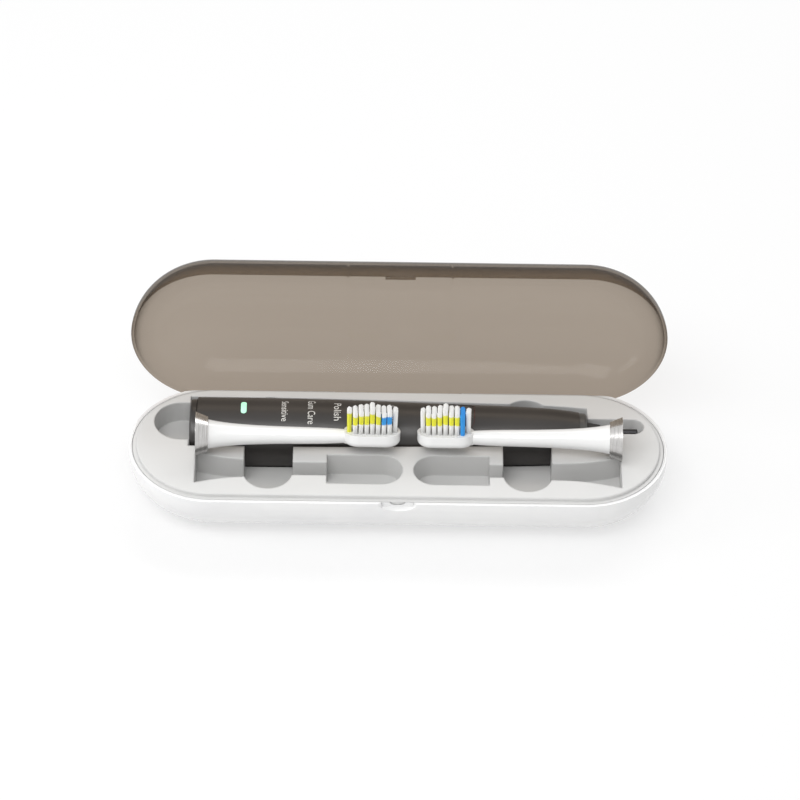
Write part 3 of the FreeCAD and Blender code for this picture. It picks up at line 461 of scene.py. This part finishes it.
# %% The handle
handle_black = plastic("satin_black_handle", (0.030, 0.0265, 0.0245), 0.36, 0.16, 1500.0, 0.10, 0.0003)
cap_black = plastic("satin_black_cap", (0.024, 0.022, 0.021), 0.32, 0.12, 1500.0, 0.10, 0.0003)
wear("handle_housing", handle_black)
wear("power_button", handle_black)
wear("end_cap", cap_black)
wear("neck_collar", plastic("satin_grey_collar", (0.062, 0.060, 0.058), 0.30, 0.10, 1500.0, 0.08, 0.0002))
wear("shaft_seal", plastic("neck_rubber", (0.020, 0.020, 0.021), 0.55, 0.30, 700.0, 0.10, 0.0003))
wear("end_cap_seal", plastic("seal_rubber", (0.018, 0.018, 0.018), 0.60, 0.30, 700.0, 0.10))


def light_green():
    finish = Finish("frosted_green_light")
    frost, cloud = finish.noise(900.0, 2.0), finish.noise(200.0, 2.0)
    mint = finish.mix(cloud.smooth(0.3, 0.7), (0.42, 0.86, 0.60), (0.52, 0.93, 0.70))
    finish.output(
        finish.surface(
            Base_Color=mint,
            Roughness=(frost - 0.5) * 0.2 + 0.35,
            Emission_Color=mint,
            Emission_Strength=0.35,
            Normal=finish.bump(frost, 0.2, 0.00003, finish.soft_edges(0.0003)),
        )
    )
    return finish.material


wear("status_light", light_green())

# %% [markdown]
# ## Inside the handle
# The pieces inside don't show until someone takes the handle apart in a viewer, but they get finishes too:
# copper windings with painted shade between the turns, dark ferrite, a green board and plain technical
# plastics.


# %% Inside the handle
def copper():
    finish = Finish("enamelled_copper")
    turns = finish.node(
        "ShaderNodeTexWave",
        {"wave_type": "BANDS", "bands_direction": "X"},
        {"Vector": finish.places, "Scale": 420.0, "Distortion": 0.6, "Detail": 1.0},
        output=1,
    )
    # painted shade and highlight: the colour runs from dark to bright copper across each band, shade between
    # the turns of wire and a highlight on them; the bump gives their shape
    finish.output(
        finish.surface(
            Base_Color=finish.mix(turns, (0.30, 0.10, 0.035), (0.72, 0.31, 0.13)),
            Metallic=0.9,
            Roughness=turns * 0.15 + 0.22,
            Normal=finish.bump(turns, 0.6, 0.0001),
        )
    )
    return finish.material


def board_green():
    finish = Finish("solder_mask_board")
    x, y, z = finish.axes()
    tracks = finish.node(
        "ShaderNodeTexBrick",
        {"offset": 0.37},
        {"Vector": finish.places, "Scale": 190.0, "Mortar Size": 0.06, "Brick Width": 1.3},
        output=1,
    )
    finish.output(
        finish.surface(
            Base_Color=finish.mix(tracks, (0.012, 0.095, 0.045), (0.035, 0.19, 0.085)),
            Roughness=tracks * 0.1 + 0.3,
            Normal=finish.bump(tracks, 0.3, 0.00005),
        )
    )
    return finish.material


wire = copper()
wear("charging_coil", wire)
wear("drive_coil", wire)
wear("circuit_board", board_green())
wear("coil_core", plastic("ferrite", (0.045, 0.043, 0.045), 0.55, 0.4, 500.0, 0.15))
wear("inner_frame", plastic("natural_nylon_frame", (0.52, 0.50, 0.44), 0.45, 0.15, 900.0, 0.05))
wear("shaft_bearing", plastic("acetal_bearing", (0.62, 0.61, 0.57), 0.35, 0.10, 900.0, 0.05))
wear("button_switch", plastic("switch_black", (0.030, 0.030, 0.033), 0.40, 0.20, 900.0, 0.10))
for side in ("left", "right"):
    wear(f"head_{side}_insert", plastic(f"{side}_socket_plastic", (0.60, 0.60, 0.59), 0.35, 0.1))
    wear(
        f"head_{side}_body",
        plastic(f"{side}_head_white", (0.84, 0.84, 0.835), 0.20, 0.06, 500.0, 0.02, 0.0005, 0.2),
    )
print("solids dressed:", sum(1 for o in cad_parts.values() if o.data.materials))

# %% [markdown]
# ## Where a head lies
# The tufts are made on a head that lies along X with its bristles up, and are then carried to where each
# head rests. A head's own directions are given as numbers: from the middle of the ring to the middle of
# the bristle field gives its length, and the lean is the one it was drawn with, 19 degrees back on the handle.
# The middle of each head's bristle solid is printed beside the middle these numbers give.

# %% Where a head lies
LEAN = math.radians(19)
HEAD_LENGTH, PLATE, TOP = 86.2, 62.2, 2.6
MOUTHS = {"left": (Vector((-85.3, -5.958, 35.9)), 1), "right": (Vector((94.1, -5.958, 35.9)), -1)}


def head_place(side):
    mouth, way = MOUTHS[side]
    along = Vector((way * 0.999433, 0.024403, -0.023202)).normalized()
    up = (Vector((0, math.sin(LEAN), math.cos(LEAN))))
    up = (up - along * up.dot(along)).normalized()
    across = up.cross(along)
    turn = Matrix((along, across, up)).transposed().to_4x4()
    return Matrix.Translation(mouth * MM) @ turn @ Matrix.Scale(MM, 4)


for side in ("left", "right"):
    low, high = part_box(f"head_{side}_bristles")
    middle = head_place(side) @ Vector((74.2, 0, TOP + 5))
    print(side, "bristles' middle", [round(x * 1000, 1) for x in (low + high) / 2], "mine",
          [round(x * 1000, 1) for x in middle])

# %% [markdown]
# ## Tufts
# A tuft is forty-odd nylon filaments, folded and stapled in a round hole, and trimmed. A particle system
# would leave curves that no modifier holds, so one filament is modelled, a five-sided rod with its end
# rounded by an inset, and its mesh is set down again and again one by one: in rings in a tuft, and tufts in
# columns and rows. Each filament leans out a little and ends a little higher or lower than its neighbour.
# Along its length it carries a UV value from 0 at the root to 1 at the tip, which the colour bands and the
# painted shade at the root follow.

# %% One filament
bpy.ops.mesh.primitive_cylinder_add(vertices=5, radius=0.15, depth=1.0, location=(0, 0, 0.5))
bpy.context.object.name = "filament_pattern"
pattern = bpy.context.object
bpy.ops.object.mode_set(mode="EDIT")
bpy.ops.mesh.select_all(action="DESELECT")
edit = bmesh.from_edit_mesh(pattern.data)
for face in edit.faces:
    face.select_set(face.normal.z > 0.9)
bmesh.update_edit_mesh(pattern.data)
bpy.ops.mesh.inset(thickness=0.07, depth=0.02)
bpy.ops.mesh.select_all(action="DESELECT")
edit = bmesh.from_edit_mesh(pattern.data)
for face in edit.faces:
    face.select_set(face.normal.z < -0.9)
bmesh.update_edit_mesh(pattern.data)
bpy.ops.mesh.delete(type="FACE")
bpy.ops.object.mode_set(mode="OBJECT")
bpy.ops.object.transform_apply(location=True, rotation=True, scale=True)
ROD = [vertex.co.copy() for vertex in pattern.data.vertices]
ROD_FACES = [tuple(face.vertices) for face in pattern.data.polygons]
bpy.data.objects.remove(pattern)
print("a filament has", len(ROD), "corners and", len(ROD_FACES), "faces")

# %% [markdown]
# ## Tuft columns
# Nine columns of tufts stand along each head, four tufts across, and two in the first and the last column.
# The trimmed ends make a low crown with its peak in the middle. A column is white, yellow or blue, with a
# band of colour or coloured all the way: the left head starts with a yellow column beside its neck, and the
# right head has its blue one there.

# %% Tuft columns
COLUMN_MIDDLE, COLUMN_PITCH, ROW_PITCH = 74.2, 2.4, 2.3
TRIM = (10.6, 10.3, 10.9, 11.0, 11.9, 10.9, 10.5, 10.8, 10.6)
COLOURS = {
    "left": ("yellow", "lemon", "lemon", "lemon", "lemon", "lemon", "sky", "sky", "white"),
    "right": ("white", "blue", "lemon", "lemon", "lemon", "lemon", "lemon", "lemon", "white"),
}
RINGS = [(0.0, 1, 0.0), (0.3, 6, 0.2), (0.6, 12, 0.5), (0.87, 18, 0.1)]


def set_down(rods):
    """One mesh of many filaments: where each stands, its lean, and its length."""
    points, faces, heights = [], [], []
    for x, y, lean_x, lean_y, length in rods:
        first = len(points)
        for corner in ROD:
            up = corner.z * length
            points.append((x + corner.x + lean_x * up, y + corner.y + lean_y * up, up))
            heights.append(corner.z)
        faces += [tuple(first + i for i in face) for face in ROD_FACES]
    return points, faces, heights


def tuft_piece(side, colour, chance):
    rods = []
    for column, own in enumerate(COLOURS[side]):
        if own != colour:
            continue
        rows = (-0.5, 0.5) if column in (0, 8) else (-1.5, -0.5, 0.5, 1.5)
        for row in rows:
            x = COLUMN_MIDDLE + (column - 4) * COLUMN_PITCH
            y = row * ROW_PITCH
            length = TRIM[column] - 0.25 * abs(row) + chance.uniform(-0.15, 0.15)
            slant = chance.uniform(-0.012, 0.012)
            for radius, count, turn in RINGS:
                for i in range(count):
                    angle = turn + 2 * math.pi * i / count
                    cut = length - 0.9 * (radius / 0.87) ** 2 * 0.6 + chance.uniform(-0.12, 0.12)
                    rods.append(
                        (
                            x + radius * 0.9 * math.cos(angle),
                            y + radius * 0.9 * math.sin(angle),
                            0.016 * radius * math.cos(angle) + slant,
                            0.016 * radius * math.sin(angle),
                            cut,
                        )
                    )
    points, faces, heights = set_down(rods)
    mesh = bpy.data.meshes.new(f"{side}_tufts_{colour}")
    mesh.from_pydata([(x, y, z + TOP - 0.2) for x, y, z in points], [], faces)
    along = mesh.uv_layers.new(name="Along")
    for loop in mesh.loops:
        along.data[loop.index].uv = (0.5, min(1.0, heights[loop.vertex_index]))
    mesh.transform(head_place(side))
    piece = bpy.data.objects.new(mesh.name, mesh)
    bpy.context.collection.objects.link(piece)
    for face in mesh.polygons:
        face.use_smooth = len(face.vertices) == 4
    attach(piece, f"head_{side}")
    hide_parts(f"head_{side}_bristles")
    return piece


def nylon(name, band, start, end):
    """White nylon with a band of colour between two shares of its length, and painted shade towards the root.
    """
    finish = Finish(name)
    along = finish.tree.nodes.new("ShaderNodeUVMap")
    along.uv_map = "Along"
    split = finish.node("ShaderNodeSeparateXYZ", None, {0: along.outputs[0]}, output=1)
    wander = split + (finish.noise(700.0, 2.0) - 0.5) * 0.12
    share = wander.smooth(start - 0.03, start + 0.03) * (1 - wander.smooth(end - 0.03, end + 0.03))
    strand = finish.noise(1500.0, 2.0)
    # painted shade: the nylon is mid grey at the root, where the filaments shade one another, and white from
    # 45 percent of its length up
    white_with_root_shade = finish.mix(split.smooth(0.0, 0.45), (0.66, 0.66, 0.65), (0.90, 0.90, 0.89))
    finish.output(
        finish.surface(
            Base_Color=finish.mix(share, white_with_root_shade, band),
            Roughness=(strand - 0.5) * 0.2 + 0.34,
            Normal=finish.bump(strand, 0.1, 0.00003),
        )
    )
    return finish.material


NYLONS = {
    "white": nylon("white_nylon", (0.90, 0.90, 0.89), 2.0, 3.0),
    "lemon": nylon("banded_yellow_nylon", (0.86, 0.84, 0.06), 0.46, 0.84),
    "yellow": nylon("yellow_nylon", (0.84, 0.83, 0.08), -1.0, 0.88),
    "sky": nylon("banded_blue_nylon", (0.05, 0.36, 0.80), 0.50, 0.84),
    "blue": nylon("blue_nylon", (0.04, 0.34, 0.80), -1.0, 2.0),
}
for side in ("left", "right"):
    chance = random.Random(11 if side == "left" else 23)
    for colour in sorted(set(COLOURS[side])):
        piece = tuft_piece(side, colour, chance)
        piece.data.materials.append(NYLONS[colour])
        print(piece.name, len(piece.data.polygons), "faces")

# %% [markdown]
# ## The strip that holds the tufts
# The tufts are stapled into a slightly sunken strip of the head. It is a rounded slab: a round plate is
# added, the half of its rim that lies towards the tip is moved along, and a bevel takes the edge off.

# %% The tuft strip
STRIP_HALF, STRIP_LOW, STRIP_HIGH = 5.2, TOP - 0.75, TOP - 0.05


def strip(side):
    bpy.ops.object.select_all(action="DESELECT")
    first, last = PLATE + 1.25 + STRIP_HALF, HEAD_LENGTH - 1.25 - STRIP_HALF
    bpy.ops.mesh.primitive_cylinder_add(
        vertices=48, radius=STRIP_HALF, depth=STRIP_HIGH - STRIP_LOW,
        location=(first, 0, (STRIP_HIGH + STRIP_LOW) / 2),
    )
    piece = bpy.context.object
    piece.name = f"{side}_tuft_strip"
    bpy.ops.object.transform_apply(location=True, rotation=True, scale=True)
    bpy.ops.object.mode_set(mode="EDIT")
    bpy.ops.mesh.select_all(action="DESELECT")
    edit = bmesh.from_edit_mesh(piece.data)
    for vertex in edit.verts:
        vertex.select_set(vertex.co.x > first + 0.01)
    edit.select_flush_mode()
    bmesh.update_edit_mesh(piece.data)
    bpy.ops.transform.translate(value=(last - first, 0, 0))
    bpy.ops.object.mode_set(mode="OBJECT")
    soften = piece.modifiers.new("soften", "BEVEL")
    soften.width, soften.segments, soften.limit_method = 0.25, 3, "ANGLE"
    bpy.ops.object.modifier_apply(modifier="soften")
    bpy.ops.object.shade_smooth_by_angle(angle=math.radians(35))
    piece.data.transform(head_place(side))
    piece.data.materials.append(plastic(f"{side}_strip_white", (0.80, 0.80, 0.79), 0.3, 0.1, 700.0, 0.03))
    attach(piece, f"head_{side}")
    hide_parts(f"head_{side}_bristles")
    return piece


for side in ("left", "right"):
    made = strip(side)
    print(made.name, len(made.data.polygons), "faces")

# %% [markdown]
# ## Laying things on a curved surface
# Words, a sign and an outline lie on the round handle. The shrinkwrap modifier could press them down, but it
# needs a live target. Dropping each corner straight down onto the solid is as easy: a ray goes down from
# above, and the corner takes the height where the ray meets the surface, plus the thickness of the ink.


# %% Dropping onto a surface
def lay_on(piece, node, lift, reach=1.0):
    """Drops each corner on the solid. With reach, the height is taken further out from the piece's middle."""
    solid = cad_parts[node].data
    tree = BVHTree.FromPolygons([v.co for v in solid.vertices], [p.vertices for p in solid.polygons])
    xs = [v.co.x for v in piece.data.vertices]
    ys = [v.co.y for v in piece.data.vertices]
    middle = Vector(((min(xs) + max(xs)) / 2, (min(ys) + max(ys)) / 2, 0))
    for vertex in piece.data.vertices:
        seen_from = middle + (Vector((vertex.co.x, vertex.co.y, 0)) - middle) * reach
        hit = tree.ray_cast(Vector((seen_from.x, seen_from.y, 0.2)), Vector((0, 0, -1)))[0]
        vertex.co.z += hit.z + lift


def ink(name, colour, roughness=0.4):
    return plastic(name, colour, roughness, 0.15, 1800.0, 0.04)


# %% [markdown]
# ## The words
# Five plain words name what the handle's light can point to. Each is printed across the handle, read from
# the back to the front, in narrow letters three millimetres tall. A text object is turned to a mesh, made
# the length it needs, and laid on the housing.

# %% The words
WORDS = [
    ("Sensitive", -48.1, 11.4, 2.9),
    ("Gum Care", -36.8, 13.2, 3.2),
    ("Polish", -25.8, 9.8, 3.1),
    ("White", -14.5, 9.0, 3.1),
    ("Clean", -2.5, 9.0, 3.1),
]
WORD_MIDDLE = 11.4
print_white = ink("off_white_print", (0.72, 0.71, 0.68))
for text, x, length, tall in WORDS:
    bpy.ops.object.select_all(action="DESELECT")
    bpy.ops.object.text_add(location=(0, 0, 0))
    word = bpy.context.object
    word.data.body, word.data.size, word.data.resolution_u = text, 1.0, 3
    word.data.extrude = 0.0
    bpy.ops.object.convert(target="MESH")
    word = bpy.context.object
    word.name = "word_" + text.lower().replace(" ", "_")
    xs = [v.co.x for v in word.data.vertices]
    ys = [v.co.y for v in word.data.vertices]
    caps = 0.7
    across, up = length / (max(xs) - min(xs)), tall / caps
    for vertex in word.data.vertices:
        along, rise = (vertex.co.x - min(xs)) * across, vertex.co.y * up
        vertex.co = Vector((x + rise - tall / 2, WORD_MIDDLE + length / 2 - along, 0)) * MM
    word.data.update()
    bpy.ops.object.mode_set(mode="EDIT")
    bpy.ops.mesh.select_all(action="SELECT")
    bpy.ops.mesh.remove_doubles(threshold=0.000005)
    bpy.ops.object.mode_set(mode="OBJECT")
    lay_on(word, "handle_housing", 0.00004)
    word.data.materials.append(print_white)
    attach(word, "handle")
    print(word.name, len(word.data.vertices), "corners")

# %% [markdown]
# ## The power sign and the key's outline
# The sign is the usual open ring with a bar, here lying on its side with the bar towards the brush. The ring
# is a torus with the faces of its gap deleted, pressed flat. The outline is a thin frame between two rounded
# squares, one a little inside the other, so that it lies over the gap round the key.

# %% The power sign
KEY = Vector((24.8, 12.6, 0)) * MM
bpy.ops.object.select_all(action="DESELECT")
bpy.ops.mesh.primitive_torus_add(
    major_radius=0.0028, minor_radius=0.00026, major_segments=64, minor_segments=8, location=(0, 0, 0)
)
sign = bpy.context.object
sign.name = "power_sign"
bpy.ops.object.mode_set(mode="EDIT")
bpy.ops.mesh.select_all(action="DESELECT")
edit = bmesh.from_edit_mesh(sign.data)
for face in edit.faces:
    place = face.calc_center_median()
    face.select_set(abs(math.atan2(place.y, place.x)) < math.radians(33))
bmesh.update_edit_mesh(sign.data)
bpy.ops.mesh.delete(type="FACE")
bpy.ops.mesh.select_all(action="DESELECT")
edit = bmesh.from_edit_mesh(sign.data)
for edge in edit.edges:
    edge.select_set(edge.is_boundary)
bmesh.update_edit_mesh(sign.data)
bpy.ops.mesh.edge_face_add()
bpy.ops.mesh.primitive_cylinder_add(
    vertices=8, radius=0.00026, depth=0.0027, location=(0.0031, 0, 0), rotation=(0, math.pi / 2, 0)
)
bpy.ops.object.mode_set(mode="OBJECT")
for vertex in sign.data.vertices:
    vertex.co.z = max(vertex.co.z, 0) * 0.12
    vertex.co += KEY
lay_on(sign, "power_button", 0.00003)
sign.data.materials.append(ink("pale_cyan_print", (0.42, 0.74, 0.72)))
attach(sign, "button")
print(sign.name, len(sign.data.polygons), "faces")

# %% The key's outline
bpy.ops.object.select_all(action="DESELECT")
bpy.ops.mesh.primitive_plane_add(size=0.0154, location=(0, 0, 0))
outline = bpy.context.object
outline.name = "key_outline"
bpy.ops.object.mode_set(mode="EDIT")
bpy.ops.mesh.select_all(action="SELECT")
bpy.ops.mesh.subdivide(number_cuts=9)
bpy.ops.object.mode_set(mode="OBJECT")
HALF, CORNER, THICK = 7.7, 4.0, 0.42


def rounded(angle, half, corner):
    """A point of a rounded square, in millimetres, at this angle from its middle."""
    across, up = math.cos(angle), math.sin(angle)
    reach = half / max(abs(across), abs(up))
    core = half - corner
    x, y = across * reach, up * reach
    if abs(x) > core and abs(y) > core:
        cx, cy = math.copysign(core, x), math.copysign(core, y)
        b = across * cx + up * cy
        reach = b + math.sqrt(b * b - (cx * cx + cy * cy - corner * corner))
        x, y = across * reach, up * reach
    return x, y


bpy.data.objects.remove(outline)
turns = [2 * math.pi * i / 96 for i in range(96)]
corners = []
for half, corner in ((HALF, CORNER), (HALF - THICK, CORNER - THICK)):
    corners += [(KEY.x + x * MM, KEY.y + y * MM, 0) for x, y in (rounded(t, half, corner) for t in turns)]
faces = [(i, (i + 1) % 96, 96 + (i + 1) % 96, 96 + i) for i in range(96)]
mesh = bpy.data.meshes.new("key_outline")
mesh.from_pydata(corners, [], faces)
outline = bpy.data.objects.new("key_outline", mesh)
bpy.context.collection.objects.link(outline)
lay_on(outline, "handle_housing", 0.00003, 1.08)
mesh.materials.append(ink("dark_red_outline", (0.045, 0.010, 0.008), 0.3))
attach(outline, "handle")
